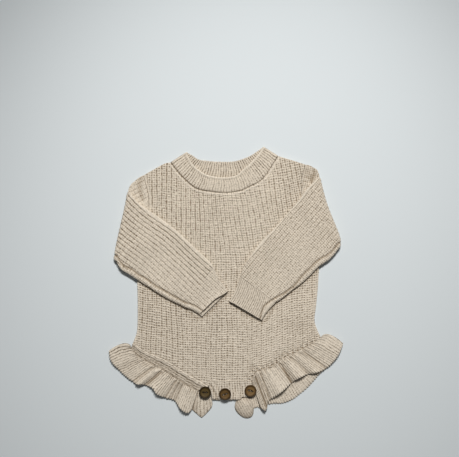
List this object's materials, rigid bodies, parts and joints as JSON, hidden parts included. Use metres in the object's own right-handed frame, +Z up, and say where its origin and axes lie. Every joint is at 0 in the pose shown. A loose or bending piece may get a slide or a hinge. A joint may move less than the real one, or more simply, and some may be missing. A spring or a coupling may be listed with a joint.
{
  "type": "baby romper",
  "caption": "Long-sleeved baby romper in chunky rib knit with frilled leg openings, laid flat with its sleeves folded across the front.",
  "frame": {"origin": "middle of the garment's outline, on the surface that it lies on", "axes": "+Y towards the neck, +X to the viewer's right, +Z up out of the front"},
  "size_m": [0.3504, 0.4068, 0.0121],
  "materials": {
    "body_knit": "matt cream cotton, chunky half-cardigan rib",
    "rib_knit": "matt cream cotton, fine one by one rib",
    "button_wood": "dark brown turned wood, satin"
  },
  "bodies": {
    "root": {"back_panel": "body_knit", "front_panel": "body_knit", "neckband_back": "rib_knit", "neckband_front": "rib_knit", "sleeve_left": "body_knit", "sleeve_right": "body_knit", "cuff_left": "rib_knit", "cuff_right": "rib_knit", "leg_band_left": "rib_knit", "leg_band_right": "rib_knit", "ruffle_front_left": "rib_knit", "ruffle_front_right": "rib_knit", "ruffle_back_left": "rib_knit", "ruffle_back_right": "rib_knit", "ruffle_tab_left": "rib_knit", "ruffle_puff_right": "rib_knit", "crotch_band_front": "rib_knit", "crotch_band_back": "rib_knit", "button_left": "button_wood", "button_middle": "button_wood", "button_right": "button_wood"}
  },
  "joints": []
}
